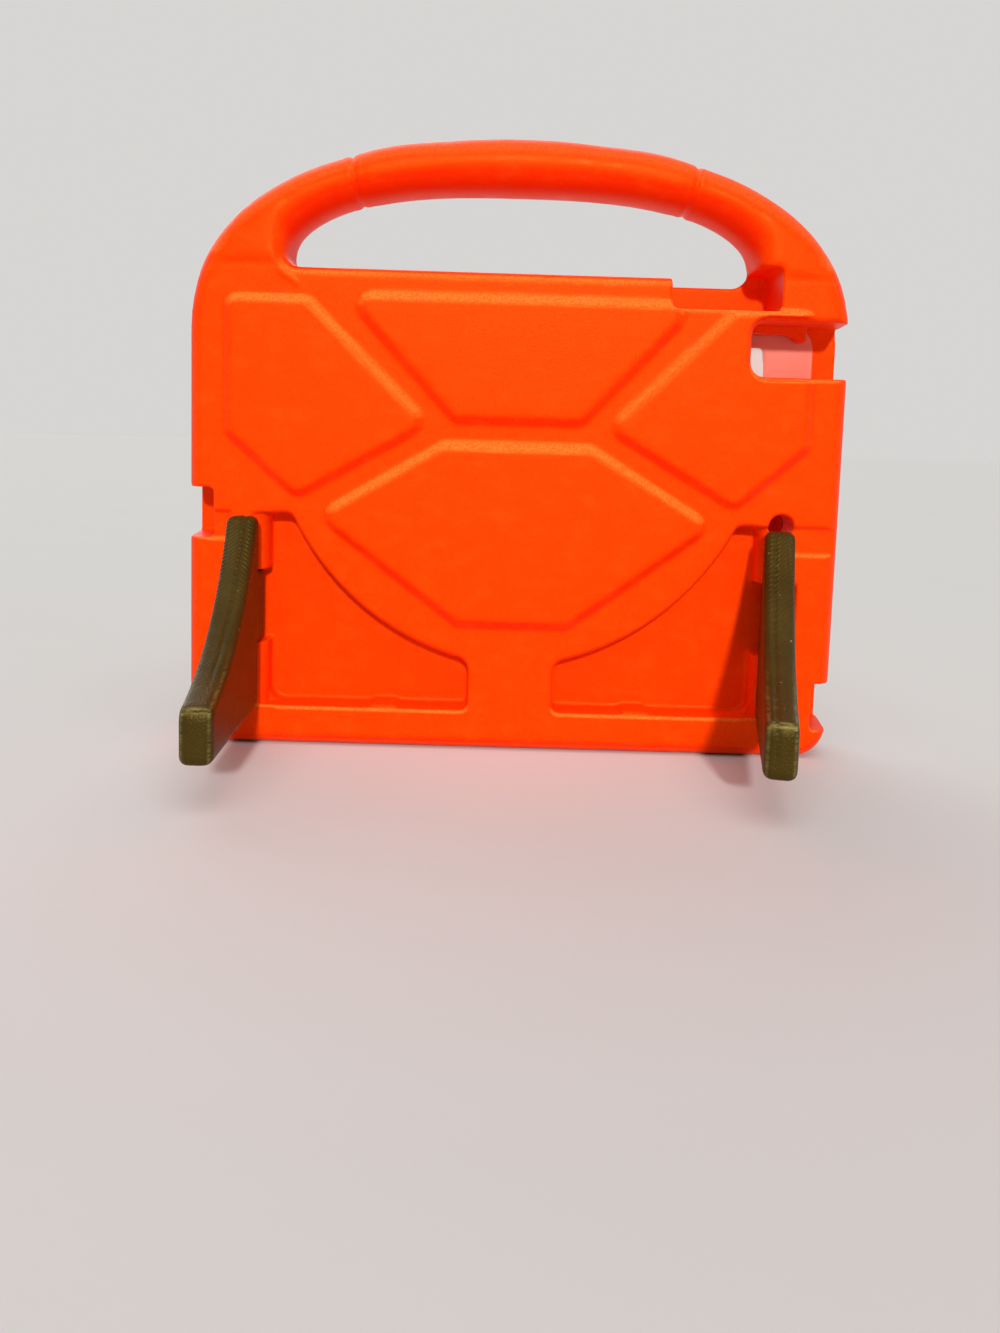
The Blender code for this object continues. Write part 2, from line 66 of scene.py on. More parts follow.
def mergedCopy(nodeName, pieceName):
    # the CAD node stays as it is; its copy loses the doubled corners of its loose triangles
    piece = bpy.data.objects.new(pieceName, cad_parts[nodeName].data.copy())
    bpy.context.scene.collection.objects.link(piece)
    piece.data.materials.clear()
    selectOnly(piece)
    bpy.ops.object.mode_set(mode="EDIT")
    bpy.ops.mesh.select_all(action="SELECT")
    bpy.ops.mesh.remove_doubles(threshold=0.01 * mm)
    bpy.ops.object.mode_set(mode="OBJECT")
    return piece


def vertexPlaces(piece):
    places = np.empty(len(piece.data.vertices) * 3, np.float32)
    piece.data.vertices.foreach_get("co", places)
    return places.reshape(-1, 3).astype(float)


def vertexNormals(piece):
    normals = np.empty(len(piece.data.vertices) * 3, np.float32)
    piece.data.vertex_normals.foreach_get("vector", normals)
    return normals.reshape(-1, 3).astype(float)


def setPlaces(piece, places):
    piece.data.vertices.foreach_set("co", places.astype(np.float32).ravel())
    piece.data.update()


def eased(value, low, high):
    share = np.clip((value - low) / (high - low), 0, 1)
    return share * share * (3 - 2 * share)


def ridge(value, half):
    # 1 at 0, falling smoothly to 0 at plus and minus half
    share = np.clip(1 - np.abs(value) / half, 0, 1)
    return share * share * (3 - 2 * share)


def weightGroup(piece, name, weights):
    # groups vertices of about equal weight, which is quick for a dense mesh
    group = piece.vertex_groups.new(name=name)
    steps = np.round(weights * 20).astype(int)
    for step in range(1, 21):
        chosen = np.nonzero(steps == step)[0]
        if len(chosen):
            group.add(chosen.tolist(), step / 20, "REPLACE")


def smooth(piece, times, group=None):
    change = piece.modifiers.new("soften", "SMOOTH")
    change.iterations = times
    change.factor = 0.5
    if group:
        change.vertex_group = group
    applyModifiers(piece)


def voxelRemesh(piece, size):
    change = piece.modifiers.new("voxels", "REMESH")
    change.mode = "VOXEL"
    change.voxel_size = size
    change.use_smooth_shade = True
    applyModifiers(piece)


def thinOut(piece, triangles):
    count = sum(len(face.vertices) - 2 for face in piece.data.polygons)
    change = piece.modifiers.new("thin", "DECIMATE")
    change.ratio = min(1.0, triangles / count)
    change.use_collapse_triangulate = True
    applyModifiers(piece)


def addNode(tree, kind, settings=None, inputs=None, links=None):
    # one shader node with its settings, socket values and incoming links
    node = tree.nodes.new(kind)
    for key, value in (settings or {}).items():
        setattr(node, key, value)
    for key, value in (inputs or {}).items():
        node.inputs[key].default_value = value
    for key, source in (links or {}).items():
        tree.links.new(source, node.inputs[key])
    return node


def newMaterial(name):
    material = bpy.data.materials.new(name)
    material.use_nodes = True
    material.node_tree.nodes.clear()
    return material, material.node_tree


def rampStops(node, stops):
    ramp = node.color_ramp
    while len(ramp.elements) < len(stops):
        ramp.elements.new(0.5)
    for element, (place, value) in zip(ramp.elements, stops):
        element.position = place
        element.color = value


# Camera: where the photograph was taken from, with its view straight at the middle of the back

camera = {
    "place": (-7.20 * mm, -373.62 * mm, 111.11 * mm),
    "turn": (84.227, -1.724, -0.186),
    "focalLength": 28.36,
    "shiftY": -0.0949,
}
cameraData = bpy.data.cameras.new("camera")
cameraData.lens = camera["focalLength"]
cameraData.sensor_width = 36
cameraData.sensor_fit = "AUTO"
cameraData.shift_y = camera["shiftY"]
cameraData.clip_start = 0.01
cameraData.clip_end = 50
cameraObject = bpy.data.objects.new("camera", cameraData)
bpy.context.scene.collection.objects.link(cameraObject)
cameraObject.location = camera["place"]
cameraObject.rotation_euler = [math.radians(a) for a in camera["turn"]]
bpy.context.scene.camera = cameraObject


# Floor and light

stage = {
    "floorColour": "#DBD9D6",
    "floorPatch": "#D8D6D3",
    "farColour": "#D7D5D3",
    "skyLevel": 0.18,
    "keyLevel": 2.5,
    "keyTurn": (69, 0, 3),       # low and a little from the right, from behind the camera
    "keyWidth": 4,               # degrees across, so its shadows have soft edges
    "topLevel": 1.05,
    "topTurn": (24, 0, 4),       # a wide soft light from above, which picks out what faces up
    "topWidth": 55,
    "rearLevel": 0.9,            # a weak wide light on the screen side
    "rearTurn": (-55, 0, 20),
    "rearWidth": 60,
}


def makeStage():
    bpy.ops.object.select_all(action="DESELECT")
    bpy.ops.mesh.primitive_circle_add(vertices=64, radius=9, fill_type="NGON", location=(0, 0, -0.05 * mm))
    floor = bpy.context.object
    floor.name = "floor"
    material, tree = newMaterial("matt_studio_paper")  # coated paper roll: flat, without gloss
    speckle = addNode(tree, "ShaderNodeTexNoise", inputs={"Scale": 9.0, "Detail": 3.0})
    place = addNode(tree, "ShaderNodeTexCoord")
    tree.links.new(place.outputs["Object"], speckle.inputs["Vector"])
    tone = addNode(tree, "ShaderNodeMix", {"data_type": "RGBA"},
                   {"A": linearColour(stage["floorColour"]), "B": linearColour(stage["floorPatch"])},
                   {"Factor": speckle.outputs["Fac"]})
    shader = addNode(tree, "ShaderNodeBsdfPrincipled", inputs={"Roughness": 0.9, "Specular IOR Level": 0.1},
                     links={"Base Color": tone.outputs["Result"]})
    addNode(tree, "ShaderNodeOutputMaterial", links={"Surface": shader.outputs["BSDF"]})
    floor.data.materials.append(material)


def makeSun(name, level, turn, width):
    data = bpy.data.lights.new(name, "SUN")
    data.energy = level
    data.angle = math.radians(width)
    lamp = bpy.data.objects.new(name, data)
    bpy.context.scene.collection.objects.link(lamp)
    lamp.rotation_euler = [math.radians(a) for a in turn]


def makeLight():
    world = bpy.data.worlds.new("studio")
    bpy.context.scene.world = world
    world.use_nodes = True
    tree = world.node_tree
    tree.nodes.clear()
    path = addNode(tree, "ShaderNodeLightPath")
    seen = addNode(tree, "ShaderNodeMath", {"operation": "MAXIMUM"})
    tree.links.new(path.outputs["Is Camera Ray"], seen.inputs[0])
    tree.links.new(path.outputs["Is Transmission Ray"], seen.inputs[1])
    either = addNode(tree, "ShaderNodeMath", {"operation": "MAXIMUM"})
    tree.links.new(seen.outputs[0], either.inputs[0])
    tree.links.new(path.outputs["Is Glossy Ray"], either.inputs[1])
    sky = addNode(tree, "ShaderNodeBackground", inputs={"Color": (1, 1, 1, 1), "Strength": stage["skyLevel"]})
    far = addNode(tree, "ShaderNodeBackground",
                  inputs={"Color": linearColour(stage["farColour"]), "Strength": 1.0})
    mixed = addNode(tree, "ShaderNodeMixShader", links={"Fac": either.outputs[0]})
    tree.links.new(sky.outputs[0], mixed.inputs[1])
    tree.links.new(far.outputs[0], mixed.inputs[2])
    addNode(tree, "ShaderNodeOutputWorld", links={"Surface": mixed.outputs[0]})
    makeSun("keyLight", stage["keyLevel"], stage["keyTurn"], stage["keyWidth"])
    makeSun("topLight", stage["topLevel"], stage["topTurn"], stage["topWidth"])
    makeSun("rearLight", stage["rearLevel"], stage["rearTurn"], stage["rearWidth"])


makeStage()
makeLight()
bpy.context.scene.view_settings.view_transform = "Standard"
print("stage: floor, light and camera")


# Orange foam: cross-linked EVA, injection moulded and dyed through. The mould's fine pebble grain
# gives it a dry satin skin. Its colour also holds painted light: faces that turn upwards are painted paler
# (painted highlight, with some wear), and faces that turn downwards are painted redder (painted shade).

orangeFoam = {
    "colour": "#FF4000",
    # the next two colours are painted light: the paler one goes on faces that turn upwards (painted highlight,
    # with some wear), the redder one on faces that turn downwards (painted shade)
    "rubbedAndHighlightColour": "#FF7A28",
    "paintedShadeColour": "#FF2400",
    "sheenColour": "#FFB84C",
    "poreColour": "#F53200",
    "smearColour": "#FF5A12",
    "grainPitch": 0.75,      # mm between the pebbles; the real grain is about half that, too fine to show
    "grainDepth": 0.06,
    "finePitch": 0.6,        # mm across the roughness on the pebbles
    "smearPitch": 7,         # mm across the smears that hands leave
    "mottle": 30,            # mm across the soft lighter and darker clouds
    "roughness": 0.4,
    "shine": 0.26,
    "glow": 0.25,            # light that soaks into the foam and comes out red
    "glowDepth": 2.5,        # mm that it soaks in
}


def makeOrangeFoam():
    material, tree = newMaterial("orange_eva_foam")
    place = addNode(tree, "ShaderNodeTexCoord")
    at = place.outputs["Object"]
    clouds = addNode(tree, "ShaderNodeTexNoise", inputs={"Scale": 1000 / orangeFoam["mottle"], "Detail": 5.0,
                                                         "Roughness": 0.6}, links={"Vector": at})
    grain = addNode(tree, "ShaderNodeTexVoronoi", {"feature": "SMOOTH_F1"},
                    {"Scale": 1000 / orangeFoam["grainPitch"], "Smoothness": 0.6}, {"Vector": at})
    fine = addNode(tree, "ShaderNodeTexNoise", inputs={"Scale": 1000 / orangeFoam["finePitch"], "Detail": 2.0},
                   links={"Vector": at})
    smudge = addNode(tree, "ShaderNodeMapping", inputs={"Scale": (0.8, 1, 1.3)}, links={"Vector": at})
    smears = addNode(tree, "ShaderNodeTexNoise",
                     inputs={"Scale": 1000 / orangeFoam["smearPitch"], "Detail": 6.0, "Roughness": 0.65},
                     links={"Vector": smudge.outputs[0]})
    # per-vertex painted light with some wear, from how each face tilts: high on upward faces, low on downward
    # faces
    wearAndPaintedLight = addNode(tree, "ShaderNodeAttribute", {"attribute_name": "wearAndPaintedLight"})
    # the painted light and wear are uneven, so the clouds shift them a little
    uneven = addNode(tree, "ShaderNodeMath", {"operation": "MULTIPLY_ADD"}, {1: 0.16, 2: -0.08},
                     {0: clouds.outputs["Fac"]})
    wearAndLightShare = addNode(tree, "ShaderNodeMath", {"operation": "ADD"}, None,
                   {0: wearAndPaintedLight.outputs["Fac"], 1: uneven.outputs[0]})
    # the ramp runs from painted shade through the plain colour to painted highlight with wear
    tone = addNode(tree, "ShaderNodeValToRGB", links={"Fac": wearAndLightShare.outputs[0]})
    middleTone = linearColour(orangeFoam["colour"])
    rampStops(tone, [(0.0, linearColour(orangeFoam["paintedShadeColour"])), (0.4, middleTone), (0.6, middleTone),
                     (1.0, linearColour(orangeFoam["rubbedAndHighlightColour"]))])
    pores = addNode(tree, "ShaderNodeMapRange",
                    inputs={"From Min": 0.2, "From Max": 0.7, "To Min": 0.0, "To Max": 0.5},
                    links={"Value": grain.outputs["Distance"]})
    speckled = addNode(tree, "ShaderNodeMix", {"data_type": "RGBA"},
                       {"B": linearColour(orangeFoam["poreColour"])},
                       {"Factor": pores.outputs["Result"], "A": tone.outputs["Color"]})
    smeared = addNode(tree, "ShaderNodeMapRange",
                      inputs={"From Min": 0.5, "From Max": 0.75, "To Min": 0.0, "To Max": 0.25},
                      links={"Value": smears.outputs["Fac"]})
    colour = addNode(tree, "ShaderNodeMix", {"data_type": "RGBA"},
                     {"B": linearColour(orangeFoam["smearColour"])},
                     {"Factor": smeared.outputs["Result"], "A": speckled.outputs["Result"]})
    gloss = addNode(tree, "ShaderNodeMapRange", inputs={"From Min": 0.3, "From Max": 0.7,
                                                        "To Min": orangeFoam["roughness"] - 0.06,
                                                        "To Max": orangeFoam["roughness"] + 0.1},
                    links={"Value": smears.outputs["Fac"]})
    height = addNode(tree, "ShaderNodeMath", {"operation": "MULTIPLY_ADD"}, {1: 0.6},
                     {0: fine.outputs["Fac"], 2: grain.outputs["Distance"]})
    bump = addNode(tree, "ShaderNodeBump",
                   inputs={"Strength": 0.5, "Distance": orangeFoam["grainDepth"] * mm},
                   links={"Height": height.outputs[0]})
    shader = addNode(tree, "ShaderNodeBsdfPrincipled",
                     inputs={"Specular IOR Level": orangeFoam["shine"],
                             "Specular Tint": linearColour(orangeFoam["sheenColour"]), "IOR": 1.47,
                             "Subsurface Weight": orangeFoam["glow"],
                             "Subsurface Scale": orangeFoam["glowDepth"] * mm,
                             "Subsurface Radius": (1.0, 0.16, 0.05)},
                     links={"Base Color": colour.outputs["Result"], "Roughness": gloss.outputs["Result"],
                            "Normal": bump.outputs["Normal"]})
    addNode(tree, "ShaderNodeOutputMaterial", links={"Surface": shader.outputs["BSDF"]})
    return material


# Olive foam of the legs: the same EVA in khaki, with fine scores slanting away from the mould's
# parting line at the tops, and worn shiny at the toes, where the upward-facing shoulders are also painted paler
# as a painted highlight.

oliveFoam = {
    "colour": "#3B2D0E",
    "deepColour": "#36290B",
    "paleColour": "#413210",
    # the next colour is wear on the toes' edges, and a painted highlight on their upward-facing shoulders
    "wornAndHighlightColour": "#9A8A50",
    "sheenColour": "#EBCB72",
    "dustColour": "#A79B78",
    "grainPitch": 0.7,
    "grainDepth": 0.12,
    "finePitch": 5,          # mm across the drawn-out scratches
    "dustPitch": 1.6,
    "mottle": 12,            # mm across the soft lighter and darker clouds
    "scorePitch": 1.25,      # mm between the slanting scores
    "scoreHeights": (50, 68),
    "lineAt": 91.4,          # mm from the middle to the parting lines
    "roughness": 0.4,
    "shine": 0.24,
}


def makeOliveFoam():
    material, tree = newMaterial("olive_eva_foam")
    place = addNode(tree, "ShaderNodeTexCoord")
    at = place.outputs["Object"]
    clouds = addNode(tree, "ShaderNodeTexNoise", inputs={"Scale": 1000 / oliveFoam["mottle"], "Detail": 5.0},
                     links={"Vector": at})
    grain = addNode(tree, "ShaderNodeTexVoronoi", {"feature": "SMOOTH_F1"},
                    {"Scale": 1000 / oliveFoam["grainPitch"], "Smoothness": 0.5}, {"Vector": at})
    scratches = addNode(tree, "ShaderNodeMapping", inputs={"Rotation": (0.5, 0.3, 0), "Scale": (1, 1, 7)},
                        links={"Vector": at})
    fine = addNode(tree, "ShaderNodeTexNoise",
                   inputs={"Scale": 1000 / oliveFoam["finePitch"], "Detail": 5.0, "Roughness": 0.7},
                   links={"Vector": scratches.outputs[0]})
    # scores: slanting ridges that mirror each other about the parting line
    part = addNode(tree, "ShaderNodeSeparateXYZ", links={"Vector": at})
    side = addNode(tree, "ShaderNodeMath", {"operation": "ABSOLUTE"}, None, {0: part.outputs["X"]})
    fromLine = addNode(tree, "ShaderNodeMath", {"operation": "SUBTRACT"}, {1: oliveFoam["lineAt"] * mm},
                       {0: side.outputs[0]})
    away = addNode(tree, "ShaderNodeMath", {"operation": "ABSOLUTE"}, None, {0: fromLine.outputs[0]})
    slant = addNode(tree, "ShaderNodeMath", {"operation": "MULTIPLY_ADD"}, {1: 0.8},
                    {0: away.outputs[0], 2: part.outputs["Z"]})
    waves = addNode(tree, "ShaderNodeMath", {"operation": "MULTIPLY"},
                    {1: 2 * math.pi / (oliveFoam["scorePitch"] * mm)}, {0: slant.outputs[0]})
    scores = addNode(tree, "ShaderNodeMath", {"operation": "SINE"}, None, {0: waves.outputs[0]})
    low, high = oliveFoam["scoreHeights"]
    upper = addNode(tree, "ShaderNodeMapRange",
                    inputs={"From Min": low * mm, "From Max": high * mm, "To Min": 0.1, "To Max": 1.1},
                    links={"Value": part.outputs["Z"]})
    scored = addNode(tree, "ShaderNodeMath", {"operation": "MULTIPLY"}, None,
                     {0: scores.outputs[0], 1: upper.outputs["Result"]})
    tone = addNode(tree, "ShaderNodeValToRGB", links={"Fac": clouds.outputs["Fac"]})
    rampStops(tone, [(0.3, linearColour(oliveFoam["deepColour"])), (0.5, linearColour(oliveFoam["colour"])),
                     (0.72, linearColour(oliveFoam["paleColour"]))])
    # per-vertex wear at the toes; on their upward-facing shoulders the paler colour is a painted highlight too
    wearAndPaintedLight = addNode(tree, "ShaderNodeAttribute", {"attribute_name": "wearAndPaintedLight"})
    patchy = addNode(tree, "ShaderNodeMapRange", inputs={"From Min": 0.38, "From Max": 0.62},
                     links={"Value": fine.outputs["Fac"]})
    wearAndLightShare = addNode(tree, "ShaderNodeMath", {"operation": "MULTIPLY"}, None,
                   {0: wearAndPaintedLight.outputs["Fac"], 1: patchy.outputs["Result"]})
    wornAndLitTone = addNode(tree, "ShaderNodeMix", {"data_type": "RGBA"}, {"B": linearColour(oliveFoam["wornAndHighlightColour"])},
                   {"Factor": wearAndLightShare.outputs[0], "A": tone.outputs["Color"]})
    specks = addNode(tree, "ShaderNodeTexNoise", inputs={"Scale": 1000 / oliveFoam["dustPitch"], "Detail": 1.0},
                     links={"Vector": at})
    dust = addNode(tree, "ShaderNodeMapRange", inputs={"From Min": 0.76, "From Max": 0.82, "To Max": 0.5},
                   links={"Value": specks.outputs["Fac"]})
    colour = addNode(tree, "ShaderNodeMix", {"data_type": "RGBA"}, {"B": linearColour(oliveFoam["dustColour"])},
                     {"Factor": dust.outputs["Result"], "A": wornAndLitTone.outputs["Result"]})
    gloss = addNode(tree, "ShaderNodeMapRange", inputs={"From Min": 0.0, "From Max": 1.0,
                                                        "To Min": oliveFoam["roughness"],
                                                        "To Max": oliveFoam["roughness"] - 0.17},
                    links={"Value": wearAndPaintedLight.outputs["Fac"]})
    height = addNode(tree, "ShaderNodeMath", {"operation": "MULTIPLY_ADD"}, {1: 0.5},
                     {0: fine.outputs["Fac"], 2: grain.outputs["Distance"]})
    relief = addNode(tree, "ShaderNodeMath", {"operation": "ADD"}, None,
                     {0: height.outputs[0], 1: scored.outputs[0]})
    bump = addNode(tree, "ShaderNodeBump",
                   inputs={"Strength": 0.8, "Distance": oliveFoam["grainDepth"] * mm},
                   links={"Height": relief.outputs[0]})
    shader = addNode(tree, "ShaderNodeBsdfPrincipled",
                     inputs={"Specular IOR Level": oliveFoam["shine"],
                             "Specular Tint": linearColour(oliveFoam["sheenColour"]), "IOR": 1.47},
                     links={"Base Color": colour.outputs["Result"], "Roughness": gloss.outputs["Result"],
                            "Normal": bump.outputs["Normal"]})
    addNode(tree, "ShaderNodeOutputMaterial", links={"Surface": shader.outputs["BSDF"]})
    return material


# Screen film: thin PET, vacuum formed and welded behind the lip, hazy from handling

clearFilm = {"colour": "#F2CDB8", "haze": 0.2, "roughness": 0.25}


def makeClearFilm():
    material, tree = newMaterial("hazy_pet_film")
    place = addNode(tree, "ShaderNodeTexCoord")
    stretch = addNode(tree, "ShaderNodeMapping", inputs={"Scale": (6, 1, 0.6)},
                      links={"Vector": place.outputs["Object"]})
    streaks = addNode(tree, "ShaderNodeTexNoise", inputs={"Scale": 22.0, "Detail": 3.0},
                      links={"Vector": stretch.outputs[0]})
    smears = addNode(tree, "ShaderNodeTexNoise", inputs={"Scale": 70.0, "Detail": 5.0},
                     links={"Vector": place.outputs["Object"]})
    alpha = addNode(tree, "ShaderNodeMapRange", inputs={"From Min": 0.3, "From Max": 0.7,
                                                        "To Min": clearFilm["haze"] - 0.02,
                                                        "To Max": clearFilm["haze"] + 0.03},
                    links={"Value": streaks.outputs["Fac"]})
    gloss = addNode(tree, "ShaderNodeMapRange", inputs={"From Min": 0.3, "From Max": 0.7,
                                                        "To Min": clearFilm["roughness"] - 0.08,
                                                        "To Max": clearFilm["roughness"] + 0.1},
                    links={"Value": smears.outputs["Fac"]})
    bump = addNode(tree, "ShaderNodeBump", inputs={"Strength": 0.08, "Distance": 0.2 * mm},
                   links={"Height": streaks.outputs["Fac"]})
    shader = addNode(tree, "ShaderNodeBsdfPrincipled",
                     inputs={"Base Color": linearColour(clearFilm["colour"]), "IOR": 1.57},
                     links={"Alpha": alpha.outputs["Result"], "Roughness": gloss.outputs["Result"],
                            "Normal": bump.outputs["Normal"]})
    addNode(tree, "ShaderNodeOutputMaterial", links={"Surface": shader.outputs["BSDF"]})
    return material


# Hinge pins: drawn steel wire, ground and cut, with fine rings from the grinding

pinSteel = {"colour": "#B4B4B2", "stainColour": "#8F8E8A", "ringPitch": 0.35, "roughness": 0.32}


def makePinSteel():
    material, tree = newMaterial("ground_steel_wire")
    place = addNode(tree, "ShaderNodeTexCoord")
    rings = addNode(tree, "ShaderNodeTexWave", {"bands_direction": "Z"},
                    {"Scale": 1000 / (pinSteel["ringPitch"] * 20), "Distortion": 1.2, "Detail": 2.0},
                    {"Vector": place.outputs["Object"]})
    stain = addNode(tree, "ShaderNodeTexNoise", inputs={"Scale": 220.0, "Detail": 4.0},
                    links={"Vector": place.outputs["Object"]})
    colour = addNode(tree, "ShaderNodeMix", {"data_type": "RGBA"},
                     {"A": linearColour(pinSteel["colour"]), "B": linearColour(pinSteel["stainColour"])},
                     {"Factor": stain.outputs["Fac"]})
    gloss = addNode(tree, "ShaderNodeMapRange", inputs={"To Min": pinSteel["roughness"] - 0.07,
                                                        "To Max": pinSteel["roughness"] + 0.1},
                    links={"Value": rings.outputs["Fac"]})
    bump = addNode(tree, "ShaderNodeBump", inputs={"Strength": 0.3, "Distance": 0.01 * mm},
                   links={"Height": rings.outputs["Fac"]})
    shader = addNode(tree, "ShaderNodeBsdfPrincipled", inputs={"Metallic": 1.0},
                     links={"Base Color": colour.outputs["Result"], "Roughness": gloss.outputs["Result"],
                            "Normal": bump.outputs["Normal"]})
    addNode(tree, "ShaderNodeOutputMaterial", links={"Surface": shader.outputs["BSDF"]})
    return material


orangeFoamMaterial = makeOrangeFoam()
oliveFoamMaterial = makeOliveFoam()
clearFilmMaterial = makeClearFilm()
pinSteelMaterial = makePinSteel()
print("stage: materials")


# Case: the CAD shell with the soft radii of moulded foam

caseShell = {
    "voxel": 0.5,
    "softTimes": 5,          # gentle rounding of every edge
    "handleTimes": 70,       # strong rounding that makes the handle one round tube
    "panelTimes": 16,        # softer slopes round the raised panels
    "triangles": 194000,
    "archMiddle": 96,        # the height that the arch's angles are taken from
    "archTurns": ((22, 0.7, 10), (41, -1.25, 10), (55, 0.9, 9)),  # degrees from the top, mm out, half width
    "armSwell": 0.55,        # mm that the arms stand proud above the crease
    "creaseHeight": 165.8,
    "creaseDepth": 0.1,
    "lineEnds": ((-81.2, 163.3), (-76.1, 159.8)),  # the short raised line at the opening's left corner
    "lineRise": 0.28,
    "seamAt": (56.8, 193.8),
    "seamLean": 0.199,
    "seamRise": 0.14,
    "seamDepth": 0.55,
    "seamHalf": 0.75,
    "backPlane": -12.9,      # what lies further in than this is a hollow of the back
    "windowHalf": 88.5,
    "windowDepth": (8.9, 15),
    "windowHeight": (18.0, 144.8),
    "windowRounding": 1.5,
    "slotCorner": ((90, 2.2, 134), (101.7, 9.55, 146.5)),  # the sliver of foam that is cleared from the slot
    "slotRounding": 0.8,
    "lensPlace": (94.6, 81.4),
    "lensRadius": 4.5,
    "lensWeb": (11.2, 12.6),
}


def boxCutter(name, low, high, rounding):
    # a block that cuts through the lip, with the edges that run front to back rounded
    bpy.ops.object.select_all(action="DESELECT")
    middle = [(a + b) / 2 * mm for a, b in zip(low, high)]
    bpy.ops.mesh.primitive_cube_add(size=1, location=middle)
    cutter = bpy.context.object
    cutter.name = name
    cutter.scale = [(b - a) * mm for a, b in zip(low, high)]
    bpy.ops.object.transform_apply(location=False, rotation=False, scale=True)
    bpy.ops.object.mode_set(mode="EDIT")
    bpy.ops.mesh.select_mode(type="EDGE")
    bpy.ops.mesh.select_all(action="DESELECT")
    bpy.ops.object.mode_set(mode="OBJECT")
    for edge in cutter.data.edges:
        start, end = (cutter.data.vertices[i].co for i in edge.vertices)
        edge.select = abs(start.x - end.x) < 1e-6 and abs(start.z - end.z) < 1e-6
    bpy.ops.object.mode_set(mode="EDIT")
    bpy.ops.mesh.bevel(offset=rounding * mm, segments=3, affect="EDGES")
    bpy.ops.object.mode_set(mode="OBJECT")
    return cutter


def cutAway(piece, cutter):
    change = piece.modifiers.new("cut", "BOOLEAN")
    change.operation = "DIFFERENCE"
    change.object = cutter
    change.solver = "EXACT"
    applyModifiers(piece)
    bpy.data.objects.remove(cutter)


def closeHole(piece, place, radius, depth):
    # a thin web that closes the lip's lens hole, so that the sound hole behind it shows dark
    bpy.ops.object.select_all(action="DESELECT")
    location = (place[0] * mm, sum(depth) / 2 * mm, place[1] * mm)
    bpy.ops.mesh.primitive_cylinder_add(vertices=48, radius=radius * mm, depth=(depth[1] - depth[0]) * mm,
                                        location=location, rotation=(math.pi / 2, 0, 0))
    web = bpy.context.object
    change = piece.modifiers.new("web", "BOOLEAN")
    change.operation = "UNION"
    change.object = web
    change.solver = "EXACT"
    applyModifiers(piece)
    bpy.data.objects.remove(web)


def shapeArch(piece):
    # the outer line of the arch, swelled and drawn in to the real curve
    places, normals = vertexPlaces(piece), vertexNormals(piece)
    x, z = places[:, 0] / mm, places[:, 2] / mm
    up = z - caseShell["archMiddle"]
    outward = np.stack([x, np.zeros(len(x)), up], axis=1)
    outward /= np.linalg.norm(outward, axis=1)[:, None]
    turn = np.degrees(np.arctan2(np.abs(x), up))
    facing = eased((normals * outward).sum(axis=1), -0.3, 0.5)
    amount = sum(out * ridge(turn - middle, half) for middle, out, half in caseShell["archTurns"])
    # only the arch's outer side, not the body's top edge under the opening
    rim = eased(np.hypot(x, up), 97, 108) * np.maximum(eased(z, 170, 177), eased(np.abs(x), 88, 96))
    amount = amount * facing * rim * eased(z, 150, 163)
    setPlaces(piece, places + outward * (amount * mm)[:, None])


def shapeArms(piece):
    # the arms swell a little above a soft crease, on the side away from the screen
    places, normals = vertexPlaces(piece), vertexNormals(piece)
    x, z = np.abs(places[:, 0]) / mm, places[:, 2] / mm
    facing = eased(-normals[:, 1], 0.15, 0.7)
    low = caseShell["creaseHeight"]
    swell = eased(z, low - 0.8, low + 4.2) * (1 - eased(z, 178, 198)) * eased(x, 79, 84)
    crease = ridge(z - low, 2.2) * eased(x, 80, 88) * (1 - eased(x, 97, 106))
    amount = (caseShell["armSwell"] * swell - caseShell["creaseDepth"] * crease) * facing
    # the short raised line that runs down from the opening's left corner
    start, end = (np.array(place) for place in caseShell["lineEnds"])
    run = end - start
    flat = np.stack([places[:, 0] / mm, z], axis=1)
    share = np.clip(((flat - start) @ run) / (run @ run), 0, 1)
    away = np.linalg.norm(flat - start - share[:, None] * run, axis=1)
    amount = amount + caseShell["lineRise"] * ridge(away, 2.0) * facing
    setPlaces(piece, places + np.array((0, -1, 0)) * (amount * mm)[:, None])


def shapeSeams(piece):
    # where the grip's mould halves met the arms: a thin groove between two slight swellings
    places, normals = vertexPlaces(piece), vertexNormals(piece)
    x, z = np.abs(places[:, 0]) / mm, places[:, 2] / mm
    seamX, seamZ = caseShell["seamAt"]
    lean = caseShell["seamLean"]
    away = ((x - seamX) - (z - seamZ) * lean) / math.hypot(1, lean)
    swell = caseShell["seamRise"] * ridge(np.abs(away) - 2.0, 1.9)
    groove = caseShell["seamDepth"] * np.exp(-(away / caseShell["seamHalf"]) ** 2)
    amount = (swell - groove) * eased(z, 176, 180)
    setPlaces(piece, places + normals * (amount * mm)[:, None])


def setWearAndPaintedLight(piece, wearAndPaintedLight):
    # stores the per-vertex painted light and wear
    mark = piece.data.attributes.new("wearAndPaintedLight", "FLOAT", "POINT")
    mark.data.foreach_set("value", wearAndPaintedLight.astype(np.float32))


